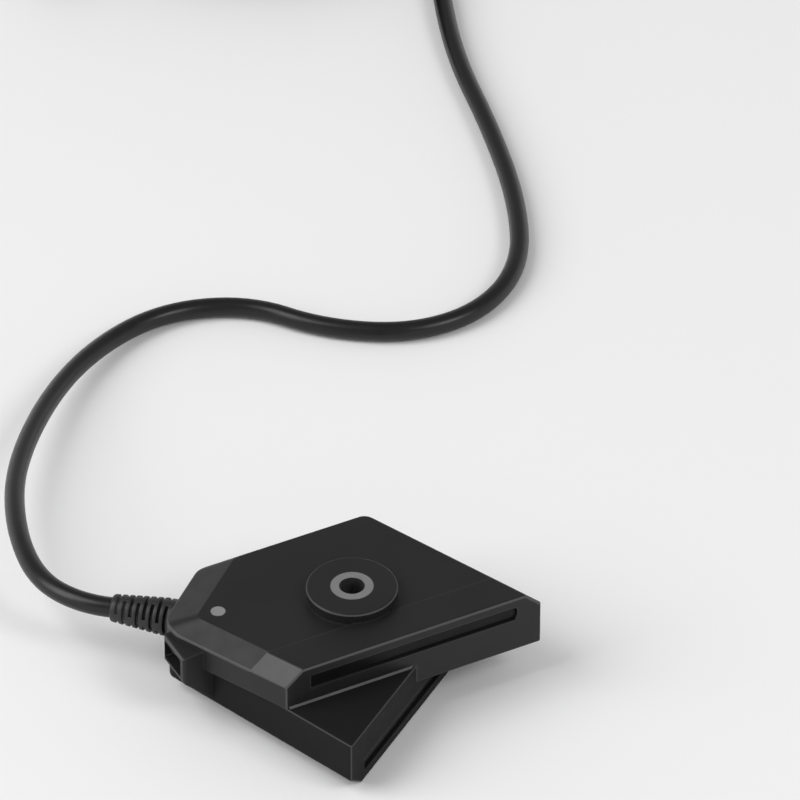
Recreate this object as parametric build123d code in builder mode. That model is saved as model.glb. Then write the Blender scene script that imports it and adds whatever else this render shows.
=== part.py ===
# Sonar transducer: two slim acoustic bars, one facing forward and one turned down and aside, in a
# crossed pair of housings with a through bore, a gland with a ribbed strain relief, and its lead.
# Millimetres. The origin is on the bore's axis at the flat underside, +Z up through the bore,
# and the upper bar's window faces -Y.
import math
import os

from build123d import *

# Levels above the underside
seam_z = 20.4
bar_height = 21.0
bar_overlap = 6.8
bar_rise = 0.5
upper_band = 5.0
lower_band = 5.5

# Upper housing in plan
front_y = 26.8
front_left_x = 37.5
front_right_x = 56.0
back_y = 40.5
right_lean = 24.05
left_lean = 26.0
nose_start_x = 36.3
nose_angle = 41.0
bar_depth = 13.3
crown_right = 4.9
crown_back = 5.5
crown_nose = 11.5
crown_left = 6.8
bar_crown_left = 5.84
front_left_round = 0.8
front_right_round = 0.9
back_right_round = 6.0
nose_back_round = 6.0
nose_tip_round = 11.0
nose_bevel_round = 6.0
edge_round = 0.8
bar_edge_round = 1.0
foot_round = 1.4
foot_strip = 0.6

# Lower housing in plan
window_angle = 35.3
lower_corner_x = 27.4
lower_corner_y = 52.9
lower_side_lean = 20.8
base_right = 5.5
base_back = 6.0
base_side = 6.5
lower_front_round = 0.7
lower_nose_round = 5.0
rim_round = 0.6

# Bore, boss and sleeve
bore_diameter = 8.4
sleeve_diameter = 14.0
sleeve_play = 0.05
pillar_diameter = 20.0
boss_diameter = 30.0
boss_height = 4.0
boss_round = 0.8
seal_wire = 1.1
seal_groove = 1.5
seal_levels = [9.0, 29.0]

# Corner lug beside the gland
lug_reach_x = 59.8
lug_root_x = 44.0
lug_front_y = 2.6
lug_back_y = 17.6
lug_skew = 0.12
lug_top_z = 27.7
lug_bottom_z = 4.5
lug_slope_z = 17.6
lug_round = 1.0
pocket_width = 11.8
pocket_height = 7.2
pocket_front = 2.5
pocket_top = 1.9
pocket_depth = 4.5
pocket_round = 0.8

# Window slots and what they hold, counted in from the face
slot_length = 75.2
slot_height = 5.2
slot_margin = 3.6
slot_start_x = 28.6
lower_slot_start = 8.8
slot_round = 1.5
slot_left_round = 0.4
slot_overrun = 0.3
window_recess = 1.0
window_thickness = 2.0
matching_thickness = 0.6
element_thickness = 1.4
element_count = 24
element_gap = 0.3
element_margin = 0.7
backing_thickness = 6.0
layer_clearance = 0.1
flex_thickness = 0.25
flex_width = 14.0
flex_bend = 0.6
flex_lip = 2.2
flex_step = 1.0
flex_tab = 3.0
upper_flex_start = 8.1
lower_flex_start = 53.2

# Chambers and walls
floor_thickness = 3.0
ceiling_z = 31.1
upper_front_wall = 14.3
lower_front_wall = 12.0
covered_wall = 2.8
right_wall = 5.5
back_wall = 6.0
nose_wall = 9.0
side_wall = 5.0
chamber_round = 2.0

# Gasket in the seam
gasket_width = 1.4
gasket_height = 0.9
gasket_play = 0.1
gasket_front = 1.4
gasket_face = 6.0
gasket_right = 2.6
gasket_back = 3.0
gasket_nose = 3.2
gasket_side = 2.4

# Circuit board and what stands on it: each chip is x, y, length, width, height
board_z = 15.0
board_thickness = 1.6
board_edge = 0.5
board_hole_play = 0.5
post_diameter = 6.0
post_spots = [(-36.0, 0.0), (-14.0, 30.0), (21.0, 25.0), (-18.0, -18.0)]
screw_diameter = 2.5
screw_play = 0.05
screw_length = 8.0
screw_head = 4.6
screw_head_height = 1.8
screw_socket = 2.2
screw_socket_depth = 1.0
chips = [(2.0, 22.0, 14.0, 14.0, 1.4), (-24.0, 2.0, 10.0, 10.0, 1.2), (18.0, 8.0, 8.0, 6.0, 1.0),
         (-8.0, -16.0, 7.0, 5.0, 1.0), (-32.0, -6.5, 5.0, 6.0, 1.6)]
sensor = (14.0, -2.5, 4.0, 4.5, 1.1)
connector = (-31.0, 15.0, 9.0, 5.0, 4.5)

# Temperature stud
stud_x = -42.3
stud_y = 12.6
stud_diameter = 4.8
stud_head = 0.8
stud_proud = 0.2
stud_play = 0.05
shank_diameter = 3.4
shank_tip_z = 29.6
bead_diameter = 2.0
bead_length = 3.0
lead_diameter = 0.5
lead_gap = 1.0

# Lead, gland and strain relief
cable_diameter = 6.8
cable_play = 0.05
exit_angle = 137.6
seat_along_nose = 15.7
relief_out = 22.53
relief_in = 3.0
relief_root = 12.6
relief_tip = 9.1
relief_collar = 5.0
seat_diameter = 13.5
gland_diameter = 11.0
gland_play = 0.05
gland_length = 5.5
tail_inside = 11.0
first_slot = 2.6
slot_pitch = 2.38
rib_slot = 1.05
rib_slots = 7
rib_core = 0.6
rib_open = 146.0
first_run = 10.0
bend_share = 0.45
wire_diameter = 1.2
wire_pitch = 1.6
wire_count = 4
wire_lead = 2.2
wire_bend = 0.7

# Coil of the length that is put away
coil_x = 179.6
coil_y = 407.0
coil_outer = 124.0
coil_inner = 56.0
coil_height = 27.2
coil_round = 3.0
tie_thickness = 0.8
tie_arc = 15.0
tie_angles = [25.0, 205.0]

# Plug on the far end
plug_rest = 0.3
boot_length = 28.0
boot_tip = 9.0
boot_root = 14.0
boot_grooves = 5
boot_first_groove = 4.0
boot_groove_pitch = 3.0
boot_groove_width = 1.2
boot_groove_depth = 0.9
grip_diameter = 17.6
grip_length = 7.6
barrel_diameter = 16.0
barrel_length = 16.4
flange_diameter = 18.0
flange_start = 4.4
flange_width = 2.0
ring_diameter = 21.0
ring_length = 15.0
ring_gap = 0.35
ring_lip = 3.7
ring_socket = 18.8
flute_count = 24
flute_diameter = 1.6
socket_diameter = 13.2
socket_depth = 6.0
insert_length = 5.0
insert_play = 0.1
pin_diameter = 1.0
pin_length = 4.4
outer_pins = 9
outer_pin_circle = 9.2
inner_pins = 3
inner_pin_circle = 3.2
face_seal_width = 0.9
face_seal_thickness = 1.0

# Worked out from the sizes above
bar_bottom_z = seam_z - bar_overlap
top_z = bar_bottom_z + bar_height
flat_z = top_z - bar_rise
upper_foot_z = flat_z - upper_band
boss_top_z = flat_z + boss_height
board_top_z = board_z + board_thickness
cable_radius = cable_diameter / 2
hair = 0.01
near_corner = 0.3


# The point at a distance from another, in a direction
def step(point, angle, length):
    turn = math.radians(angle)
    return (point[0] + length * math.cos(turn), point[1] + length * math.sin(turn))


# Where two lines cross, each given by a point and its direction
def meet(first, first_angle, second, second_angle):
    along = math.radians(first_angle)
    other = math.radians(second_angle)
    gap_x = second[0] - first[0]
    gap_y = second[1] - first[1]
    run = (gap_x * math.sin(other) - gap_y * math.cos(other)) / math.sin(other - along)
    return step(first, first_angle, run)


# The sides of a closed outline, each moved inwards by its own amount
def moved_sides(points, amounts):
    sides = []
    for k, start in enumerate(points):
        end = points[(k + 1) % len(points)]
        angle = math.degrees(math.atan2(end[1] - start[1], end[0] - start[0]))
        sides.append((step(start, angle + 90, amounts[k]), angle))
    return sides


# The corners that a closed chain of sides makes
def corners(sides):
    return [meet(*sides[k - 1], *sides[k]) for k in range(len(sides))]


# The planes that bevel an outline's sides from a foot level to an end level, none where the amount is 0
def slopes(points, amounts, foot_z, end_z):
    rise = end_z - foot_z
    planes = []
    for (start, angle), amount in zip(moved_sides(points, [0] * len(points)), amounts):
        if amount:
            outwards = step((0, 0), angle - 90, abs(rise))
            planes.append(Plane(origin=(*start, foot_z), z_dir=(*outwards, math.copysign(amount, rise))))
    return planes


# A flat face with straight sides at a level, its corners rounded where a radius is given
def outline(height, points, radius=0.0):
    with BuildSketch(Plane.XY.offset(height)) as face:
        with BuildLine():
            Polyline(*points, close=True)
        make_face()
        if radius:
            fillet(face.vertices(), radius)
    return face.sketch


# Edges that lie at one level
def level_edges(part, height):
    return part.edges().filter_by_position(Axis.Z, height - hair, height + hair)


# Steep edges with an end over a corner of the outline
def corner_edges(part, corner):
    spot = Vector(*corner, 0)
    found = ShapeList()
    for edge in part.edges():
        ends = [edge.position_at(0), edge.position_at(1)]
        near = min((Vector(end.X, end.Y, 0) - spot).length for end in ends)
        if near < near_corner and abs(ends[0].Z - ends[1].Z) > edge_round:
            found.append(edge)
    return found


# A block with rounded corners whose far end is bevelled, with a radius for each corner of the bevel too,
# and one for the edge along the bevel's foot where it is given
def bevelled_block(plan, rounds, bevel_rounds, amounts, base_z, end_z, foot_z, foot_radius=0.0):
    with BuildPart() as block:
        extrude(outline(base_z, plan), amount=end_z - base_z)
        for corner, radius in zip(plan, rounds):
            if radius:
                fillet(corner_edges(block, corner), radius)
        for plane in slopes(plan, amounts, foot_z, end_z):
            split(bisect_by=plane, keep=Keep.BOTTOM)
        bevel_corners = corners(moved_sides(plan, amounts))
        for k in (*range(2, len(plan)), 0, 1):
            if bevel_rounds[k]:
                fillet(corner_edges(block, bevel_corners[k]), bevel_rounds[k])
        if foot_radius:
            fillet(level_edges(block, foot_z), foot_radius)
    return block.part


# Name the piece and write its file
def write(piece, name):
    piece.part.label = name
    export_step(piece.part, f"parts/{name}.step")


os.makedirs("parts", exist_ok=True)

# Corners of both housings in plan, anticlockwise from the front left
front_left = (-front_left_x, -front_y)
front_right = (front_right_x, -front_y)
back_right = meet(front_right, 90 + right_lean, (0, back_y), 180)
nose_back = (-nose_start_x, back_y)
nose_tip = meet(nose_back, 180 + nose_angle, front_left, 90 + left_lean)
upper_plan = [front_left, front_right, back_right, nose_back, nose_tip]
upper_rounds = [front_left_round, front_right_round, back_right_round, nose_back_round, nose_tip_round]
lower_front = (-lower_corner_x, -lower_corner_y)
lower_right = meet(lower_front, window_angle, front_right, 90 + right_lean)
lower_nose = meet(nose_back, 180 + nose_angle, lower_front, 90 + lower_side_lean)
lower_plan = [lower_front, lower_right, back_right, nose_back, lower_nose]
lower_rounds = [lower_front_round, front_right_round, back_right_round, nose_back_round, lower_nose_round]

# The bar along the front of the upper housing
bar_back = (0, bar_depth - front_y)
bar_left = meet(front_left, 90 + left_lean, bar_back, 180)
bar_right = meet(front_right, 90 + right_lean, bar_back, 180)
bar_plan = [front_left, front_right, bar_right, bar_left]
bar_crown_right = crown_right * (upper_band + bar_rise) / upper_band
wedge_plan = [meet(lower_front, window_angle, front_left, 0), front_right, lower_right]

# Chambers
upper_walls = [upper_front_wall, right_wall, back_wall, nose_wall, right_wall]
upper_chamber = corners(moved_sides(upper_plan, upper_walls))
lower_walls = [lower_front_wall, right_wall, back_wall, nose_wall, side_wall]
lower_chamber_sides = [((0, covered_wall - front_y), 0), *moved_sides(lower_plan, lower_walls)]
lower_chamber = corners(lower_chamber_sides)

# Planes on the two window faces, X along the face, Y up, Z outwards
upper_slot_z = top_z - slot_margin - slot_height / 2
lower_slot_z = slot_margin + slot_height / 2
upper_slot_mid = (slot_length / 2 - slot_start_x, -front_y)
lower_slot_mid = step(lower_front, window_angle, lower_slot_start + slot_length / 2)
lower_along = step((0, 0), window_angle, 1)
lower_outwards = step((0, 0), window_angle - 90, 1)
upper_window_plane = Plane(origin=(*upper_slot_mid, upper_slot_z), x_dir=(1, 0, 0), z_dir=(0, -1, 0))
lower_window_plane = Plane(origin=(*lower_slot_mid, lower_slot_z), x_dir=(*lower_along, 0),
                           z_dir=(*lower_outwards, 0))
backing_end = window_recess + window_thickness + matching_thickness + element_thickness + backing_thickness

# Gland axis, out through the nose wall
gland_seat = step(nose_back, 180 + nose_angle, seat_along_nose)
exit_direction = Vector(*step((0, 0), exit_angle, 1), 0)
gland_origin = Vector(*gland_seat, seam_z)
gland_axis = Axis(gland_origin, exit_direction)


# A plane across an axis at a distance along it, with its X upwards
def across(origin, direction, distance):
    return Plane(origin=origin + direction * distance, x_dir=(0, 0, 1), z_dir=direction)


# A plane that holds an axis, with its X along it and its Y turned from upwards
def beside(origin, direction, angle=0.0):
    radial = Vector(0, 0, 1).rotate(Axis((0, 0, 0), direction), angle)
    return Plane(origin=origin, x_dir=direction, z_dir=direction.cross(radial))


# The cross-section of a slot, or of a layer in it with a clearance all round
def slot_section(plane, clearance=0.0):
    with BuildSketch(plane) as section:
        Rectangle(slot_length - 2 * clearance, slot_height - 2 * clearance)
        fillet(section.vertices().group_by(plane_x(plane))[-1], slot_round)
        fillet(section.vertices().group_by(plane_x(plane))[0], slot_left_round)
    return section.sketch


# The direction of a plane's X as an axis
def plane_x(plane):
    return Axis((0, 0, 0), plane.x_dir)


# The outline of the gasket with an allowance to each side
def gasket_outline(allowance):
    amounts = [gasket_face, gasket_right, gasket_back, gasket_nose, gasket_side]
    sides = [((0, gasket_front - front_y), 0), *moved_sides(lower_plan, amounts)]
    middle = corners(sides)
    half = gasket_width / 2 + allowance
    with BuildSketch(Plane.XY.offset(seam_z)) as ring:
        add(outline(seam_z, corners(moved_sides(middle, [-half] * len(middle)))))
        add(outline(seam_z, corners(moved_sides(middle, [half] * len(middle)))), mode=Mode.SUBTRACT)
    return ring.sketch


# The stepped hole that both housings share for the gland
with BuildPart() as gland_hole:
    with BuildSketch(across(gland_origin, exit_direction, -relief_in)):
        Circle(seat_diameter / 2)
    extrude(amount=relief_out)
    with BuildSketch(across(gland_origin, exit_direction, -tail_inside)):
        Circle(gland_diameter / 2)
    extrude(amount=tail_inside)

# Corner lug, trimmed to the lower housing's wall
with BuildPart() as corner_lug:
    lug_root_y = lug_front_y + lug_skew * (lug_reach_x - lug_root_x)
    extrude(outline(lug_bottom_z, [(-lug_reach_x, lug_front_y), (-lug_root_x, lug_root_y),
                                   (-lug_root_x, lug_back_y), (-lug_reach_x, lug_back_y)]),
            amount=lug_top_z - lug_bottom_z)
    split(bisect_by=Plane(origin=(-lug_reach_x, 0, lug_slope_z), z_dir=(-1, 0, -1)), keep=Keep.BOTTOM)
    fillet(corner_lug.faces().sort_by(Axis.X)[0].edges(), lug_round)
    pocket_mid_y = lug_front_y + pocket_front + pocket_width / 2
    pocket_mid_z = lug_top_z - pocket_top - pocket_height / 2
    with BuildSketch(Plane(origin=(-lug_reach_x, pocket_mid_y, pocket_mid_z), x_dir=(0, -1, 0),
                           z_dir=(-1, 0, 0))):
        RectangleRounded(pocket_width, pocket_height, pocket_round)
    extrude(amount=-pocket_depth, mode=Mode.SUBTRACT)
    extrude(outline(0, lower_plan), amount=seam_z, mode=Mode.SUBTRACT)

# Upper housing with its bar, wedge, lug, boss, chamber and slot
crown_plan = [bar_left, bar_right, *upper_plan[2:]]
crown_rounds = [0, 0, *upper_rounds[2:]]
crown = bevelled_block(crown_plan, crown_rounds, [*crown_rounds[:4], nose_bevel_round],
                       [0, crown_right, crown_back, crown_nose, crown_left], seam_z, flat_z, upper_foot_z,
                       foot_round)
bar_rounds = [*upper_rounds[:2], 0, 0]
front_bar = bevelled_block(bar_plan, bar_rounds, bar_rounds, [0, bar_crown_right, 0, bar_crown_left],
                           seam_z, top_z, upper_foot_z)
with BuildSketch(Plane.XY.offset(bar_bottom_z)) as wedge:
    with BuildLine():
        FilletPolyline(*wedge_plan, radius=[0, front_right_round, 0], close=True)
    make_face()
with BuildPart() as bar_foot:
    with BuildSketch(Plane.YZ.offset(-front_left_x)):
        with BuildLine():
            Polyline((-front_y, seam_z), (-front_y, seam_z + foot_strip), (-front_y - foot_strip, seam_z),
                     close=True)
        make_face()
    extrude(amount=front_left_x + front_right_x)
    flat_plan = corners(moved_sides(lower_plan, [rim_round] * len(lower_plan)))
    extrude(outline(seam_z, flat_plan), amount=foot_strip, mode=Mode.INTERSECT)
with BuildPart() as upper_housing:
    add(crown)
    add(front_bar)
    extrude(wedge.sketch, amount=bar_overlap)
    fillet(level_edges(upper_housing, top_z).sort_by(Axis.Y)[:-1], bar_edge_round)
    crown_edges = level_edges(upper_housing, flat_z).filter_by_position(Axis.Y, bar_back[1] + hair, back_y)
    fillet(crown_edges, edge_round)
    add(corner_lug.part)
    add(bar_foot.part)
    with BuildSketch(Plane.XY.offset(flat_z)):
        Circle(boss_diameter / 2)
    extrude(amount=boss_height)
    fillet(level_edges(upper_housing, boss_top_z), boss_round)
    extrude(outline(seam_z, upper_chamber, chamber_round), amount=ceiling_z - seam_z, mode=Mode.SUBTRACT)
    with BuildSketch(Plane.XY.offset(seam_z)):
        Circle(pillar_diameter / 2)
    extrude(amount=ceiling_z - seam_z)
    with BuildSketch(Plane.XY):
        Circle(sleeve_diameter / 2 + sleeve_play)
    extrude(amount=boss_top_z, mode=Mode.SUBTRACT)
    extrude(slot_section(upper_window_plane), amount=-upper_front_wall - slot_overrun, mode=Mode.SUBTRACT)
    add(gland_hole.part, mode=Mode.SUBTRACT)
    with Locations((stud_x, stud_y, flat_z)):
        CounterBoreHole(shank_diameter / 2 + stud_play, stud_diameter / 2 + stud_play,
                        stud_head - stud_proud, flat_z - ceiling_z + hair)
write(upper_housing, "upper_housing")

# Lower housing with its chamber, posts, slot and gasket groove
with BuildPart() as lower_housing:
    add(bevelled_block(lower_plan, lower_rounds, [lower_front_round, 0, *lower_rounds[2:]],
                       [0, base_right, base_back, crown_nose, base_side], seam_z, 0, lower_band))
    fillet(level_edges(lower_housing, 0), edge_round)
    fillet(level_edges(lower_housing, seam_z), rim_round)
    extrude(outline(floor_thickness, lower_chamber, chamber_round), amount=seam_z - floor_thickness,
            mode=Mode.SUBTRACT)
    with BuildSketch():
        Circle(pillar_diameter / 2)
    extrude(amount=seam_z)
    with BuildSketch():
        Circle(sleeve_diameter / 2 + sleeve_play)
    extrude(amount=seam_z, mode=Mode.SUBTRACT)
    with BuildSketch(Plane.XY.offset(floor_thickness)):
        with Locations(*post_spots):
            Circle(post_diameter / 2)
    extrude(amount=board_z - floor_thickness)
    with BuildSketch(Plane.XY.offset(board_z)):
        with Locations(*post_spots):
            Circle(screw_diameter / 2 + screw_play)
    extrude(amount=board_thickness - screw_length, mode=Mode.SUBTRACT)
    extrude(slot_section(lower_window_plane), amount=-lower_front_wall - slot_overrun, mode=Mode.SUBTRACT)
    extrude(gasket_outline(gasket_play), amount=-gasket_height, mode=Mode.SUBTRACT)
    add(gland_hole.part, mode=Mode.SUBTRACT)
write(lower_housing, "lower_housing")

# Gasket between the housings, cut where the gland passes
with BuildPart() as seam_gasket:
    extrude(gasket_outline(0), amount=-gasket_height)
    add(gland_hole.part, mode=Mode.SUBTRACT)
write(seam_gasket, "seam_gasket")

# Turned sleeve that lines the bore, with a groove for each ring seal
with BuildPart() as mount_sleeve:
    with BuildSketch():
        Circle(sleeve_diameter / 2)
        Circle(bore_diameter / 2, mode=Mode.SUBTRACT)
    extrude(amount=boss_top_z)
    for level in seal_levels:
        with BuildSketch(Plane.XY.offset(level)):
            Circle(sleeve_diameter / 2)
            Circle(sleeve_diameter / 2 - seal_wire, mode=Mode.SUBTRACT)
        extrude(amount=seal_groove / 2, both=True, mode=Mode.SUBTRACT)
write(mount_sleeve, "mount_sleeve")

# Ring seals round the sleeve
with BuildPart() as sleeve_seals:
    for level in seal_levels:
        with BuildSketch(Plane.XZ):
            with Locations((sleeve_diameter / 2 - seal_wire / 2, level)):
                Circle(seal_wire / 2)
        revolve(axis=Axis.Z)
write(sleeve_seals, "sleeve_seals")

# The layers behind each window, from the face inwards
for bar, plane, wall, flex_start, board_level, away in (
        ("forward", upper_window_plane, upper_front_wall, upper_flex_start, board_top_z, -1),
        ("lower", lower_window_plane, lower_front_wall, lower_flex_start, board_z, 1)):
    window_back = window_recess + window_thickness
    element_front = window_back + matching_thickness
    backing_front = element_front + element_thickness

    with BuildPart() as window:
        extrude(slot_section(plane.offset(-window_recess), layer_clearance), amount=-window_thickness)
    write(window, f"{bar}_window")

    with BuildPart() as matching_layer:
        extrude(slot_section(plane.offset(-window_back), layer_clearance), amount=-matching_thickness)
    write(matching_layer, f"{bar}_matching_layer")

    with BuildPart() as elements:
        element_pitch = (slot_length - 2 * element_margin) / element_count
        with BuildSketch(plane.offset(-element_front)):
            with GridLocations(element_pitch, 0, element_count, 1):
                Rectangle(element_pitch - element_gap, slot_height - 2 * slot_left_round)
        extrude(amount=-element_thickness)
    write(elements, f"{bar}_elements")

    with BuildPart() as backing:
        extrude(slot_section(plane.offset(-backing_front), layer_clearance), amount=-backing_thickness)
    write(backing, f"{bar}_backing")

    # The ribbon leaves the backing, steps into the chamber and ends flat on the board
    with BuildPart() as flex:
        inwards = plane.z_dir * -1
        ribbon_start = plane.origin + plane.x_dir * (flex_start - slot_length / 2)
        half = flex_thickness / 2
        drop = board_level - plane.origin.Z - away * half
        with BuildSketch(Plane(origin=ribbon_start, x_dir=inwards, z_dir=inwards.cross(Vector(0, 0, 1)))):
            with BuildLine():
                FilletPolyline((backing_end + half, -away * flex_lip),
                               (backing_end + half, away * flex_lip),
                               (wall + flex_step, away * flex_lip), (wall + flex_step, drop),
                               (wall + flex_step + flex_tab, drop), radius=flex_bend)
            trace(line_width=flex_thickness)
        extrude(amount=flex_width / 2, both=True)
    write(flex, f"{bar}_flex")

# Main board, its chips and the rest that stands on it
with BuildPart() as main_board:
    board_plan = corners(moved_sides(lower_chamber, [board_edge] * len(lower_chamber)))
    extrude(outline(board_z, board_plan, chamber_round), amount=board_thickness)
    with BuildSketch(Plane.XY.offset(board_z)):
        Circle(pillar_diameter / 2 + board_hole_play)
        with Locations(*post_spots):
            Circle(screw_diameter / 2 + screw_play)
    extrude(amount=board_thickness, mode=Mode.SUBTRACT)
write(main_board, "main_board")

with BuildPart() as board_chips:
    for x, y, length, width, height in chips:
        with BuildSketch(Plane.XY.offset(board_top_z)):
            with Locations((x, y)):
                Rectangle(length, width)
        extrude(amount=height)
write(board_chips, "board_chips")

with BuildPart() as attitude_sensor:
    with BuildSketch(Plane.XY.offset(board_top_z)):
        with Locations(sensor[:2]):
            Rectangle(sensor[2], sensor[3])
    extrude(amount=sensor[4])
write(attitude_sensor, "attitude_sensor")

with BuildPart() as board_connector:
    with BuildSketch(Plane.XY.offset(board_top_z)):
        with Locations(connector[:2]):
            Rectangle(connector[2], connector[3])
    extrude(amount=connector[4])
write(board_connector, "board_connector")

with BuildPart() as board_screws:
    with BuildSketch(Plane.XY.offset(board_top_z)):
        with Locations(*post_spots):
            Circle(screw_head / 2)
    extrude(amount=screw_head_height)
    with BuildSketch(Plane.XY.offset(board_top_z)):
        with Locations(*post_spots):
            Circle(screw_diameter / 2)
    extrude(amount=-screw_length)
    with BuildSketch(Plane.XY.offset(board_top_z + screw_head_height)):
        with Locations(*post_spots):
            RegularPolygon(screw_socket / 2, 6)
    extrude(amount=-screw_socket_depth, mode=Mode.SUBTRACT)
write(board_screws, "board_screws")

# Temperature stud and the bead below it, with its leads down to the board
with BuildPart() as temperature_stud:
    with BuildSketch(Plane.XY.offset(flat_z + stud_proud)):
        with Locations((stud_x, stud_y)):
            Circle(stud_diameter / 2)
    extrude(amount=-stud_head)
    with BuildSketch(Plane.XY.offset(shank_tip_z)):
        with Locations((stud_x, stud_y)):
            Circle(shank_diameter / 2)
    extrude(amount=flat_z + stud_proud - stud_head - shank_tip_z)
write(temperature_stud, "temperature_stud")

with BuildPart() as thermistor:
    with BuildSketch(Plane.XY.offset(shank_tip_z)):
        with Locations((stud_x, stud_y)):
            Circle(bead_diameter / 2)
    extrude(amount=-bead_length)
    with BuildSketch(Plane.XY.offset(board_top_z)):
        with Locations((stud_x - lead_gap / 2, stud_y), (stud_x + lead_gap / 2, stud_y)):
            Circle(lead_diameter / 2)
    extrude(amount=shank_tip_z - bead_length - board_top_z)
write(thermistor, "thermistor")

# Grommet in the nose wall
with BuildPart() as cable_gland:
    with BuildSketch(across(gland_origin, exit_direction, -relief_in)):
        Circle(gland_diameter / 2 - gland_play)
        Circle(cable_radius + cable_play, mode=Mode.SUBTRACT)
    extrude(amount=-gland_length)
write(cable_gland, "cable_gland")

# Strain relief: a collar, then a taper with slots that open in turn above and below, and to each side
with BuildPart() as strain_relief:
    with BuildSketch(beside(gland_origin, exit_direction)):
        with BuildLine():
            Polyline((-relief_in, cable_radius + cable_play), (-relief_in, seat_diameter / 2 - gland_play),
                     (0, seat_diameter / 2 - gland_play), (0, relief_root / 2),
                     (relief_collar, relief_root / 2), (relief_out, relief_tip / 2),
                     (relief_out, cable_radius + cable_play), close=True)
        make_face()
    revolve(axis=gland_axis)
    slot_floor = cable_radius + cable_play + rib_core
    slot_reach = seat_diameter / 2 - slot_floor
    for middle, first in ((0.0, 0), (180.0, 0), (90.0, 1), (270.0, 1)):
        with BuildSketch(beside(gland_origin, exit_direction, middle - rib_open / 2)):
            for k in range(first, rib_slots, 2):
                with Locations((relief_out - first_slot - k * slot_pitch, slot_floor + slot_reach / 2)):
                    Rectangle(rib_slot, slot_reach)
        revolve(axis=gland_axis, revolution_arc=rib_open, mode=Mode.SUBTRACT)
write(strain_relief, "strain_relief")

# The lead's own end, through the relief and the gland
with BuildPart() as cable_tail:
    with BuildSketch(across(gland_origin, exit_direction, -tail_inside)):
        Circle(cable_radius)
    extrude(amount=tail_inside + relief_out)
write(cable_tail, "cable_tail")

# Wires from the lead's end to the connector
with BuildPart() as wire_loom:
    tail_plane = across(gland_origin, exit_direction, -tail_inside)
    connector_face_y = connector[1] + connector[3] / 2
    connector_mid_z = board_top_z + connector[4] / 2
    for k in range(wire_count):
        aside = (k - (wire_count - 1) / 2) * wire_pitch
        start = tail_plane.origin + tail_plane.y_dir * aside
        wire_x = connector[0] + aside
        with BuildLine() as wire_line:
            FilletPolyline(start, start - exit_direction * wire_lead,
                           (wire_x, connector_face_y + wire_lead, connector_mid_z),
                           (wire_x, connector_face_y, connector_mid_z), radius=wire_bend)
        with BuildSketch(Plane(origin=start, z_dir=exit_direction * -1)):
            Circle(wire_diameter / 2)
        sweep(path=wire_line.line)
write(wire_loom, "wire_loom")

# The lead's route from the strain relief to the coil, chosen by hand
relief_end = gland_origin + exit_direction * relief_out
first_bend = relief_end + exit_direction * first_run
route_to_coil = [
    (relief_end.X, relief_end.Y, seam_z),
    (first_bend.X, first_bend.Y, seam_z),
    (-79.1, 63.1, 20.3),
    (-82.0, 77.0, 19.9),
    (-77.6, 99.5, 18.6),
    (-59.1, 132.9, 15.2),
    (-29.1, 169.4, 9.6),
    (0.9, 192.4, 5.2),
    (30.5, 200.9, 3.5),
    (58.2, 190.9, 3.4),
    (74.2, 167.3, 3.4),
    (99.7, 150.4, 3.4),
    (127.7, 150.0, 3.4),
    (152.6, 167.5, 3.4),
    (169.2, 201.6, 3.4),
    (181.1, 243.9, 3.4),
    (190.0, 287.0, 3.4),
    (204.0, 325.0, 3.8),
    (221.0, 359.0, 4.2),
    (231.6, 380.0, 4.2),
]

# The lead's route from the coil to the plug
plug_z = ring_diameter / 2 + plug_rest
route_to_plug = [
    (206.6, 459.0, 24.6),
    (188.0, 468.7, 24.4),
    (165.0, 473.0, 21.4),
    (143.0, 467.0, 15.0),
    (126.0, 453.0, plug_z),
    (115.0, 439.0, plug_z),
]


# Each bend as large as its two runs allow
def bend_radii(route):
    radii = []
    for k in range(1, len(route) - 1):
        before = Vector(*route[k]) - Vector(*route[k - 1])
        after = Vector(*route[k + 1]) - Vector(*route[k])
        half_turn = math.radians(before.get_angle(after) / 2)
        radii.append(bend_share * min(before.length, after.length) / math.tan(half_turn))
    return radii


# A round tube along straight runs joined by tangent bends
def lead_tube(route):
    radii = bend_radii(route)
    with BuildPart() as tube:
        with BuildLine() as line:
            FilletPolyline(*route, radius=radii)
        with BuildSketch(Plane(origin=route[0], z_dir=Vector(*route[1]) - Vector(*route[0]))) as section:
            Circle(cable_radius)
        sweep(path=line.line)
    run = line.wire().length
    share = tube.part.volume / (section.sketch.area * run)
    print("bend radii", [round(radius, 1) for radius in radii])
    print("tube length", round(run, 1), "volume over section times length", round(share, 4))
    return tube


cable = lead_tube(route_to_coil)
write(cable, "cable")
cable_end = lead_tube(route_to_plug)
write(cable_end, "cable_end")

# Coil as one ring, and the two ties round it
coil_centre = Vector(coil_x, coil_y, 0)
coil_axis = Axis(coil_centre, (0, 0, 1))
coil_middle = (coil_outer + coil_inner) / 4
coil_width = (coil_outer - coil_inner) / 2
coil_mid_z = tie_thickness + coil_height / 2


# The plane that holds the coil's axis, turned about it
def coil_plane(angle):
    return Plane(origin=coil_centre, x_dir=(*step((0, 0), angle, 1), 0),
                 z_dir=(*step((0, 0), angle - 90, 1), 0))


with BuildPart() as cable_coil:
    with BuildSketch(coil_plane(0)):
        with Locations((coil_middle, coil_mid_z)):
            RectangleRounded(coil_width, coil_height, coil_round)
    revolve(axis=coil_axis)
write(cable_coil, "cable_coil")

with BuildPart() as coil_ties:
    for angle in tie_angles:
        with BuildSketch(coil_plane(angle)):
            with Locations((coil_middle, coil_mid_z)):
                RectangleRounded(coil_width + 2 * tie_thickness, coil_height + 2 * tie_thickness,
                                 coil_round + tie_thickness)
                RectangleRounded(coil_width, coil_height, coil_round, mode=Mode.SUBTRACT)
        revolve(axis=coil_axis, revolution_arc=tie_arc)
write(coil_ties, "coil_ties")

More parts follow.
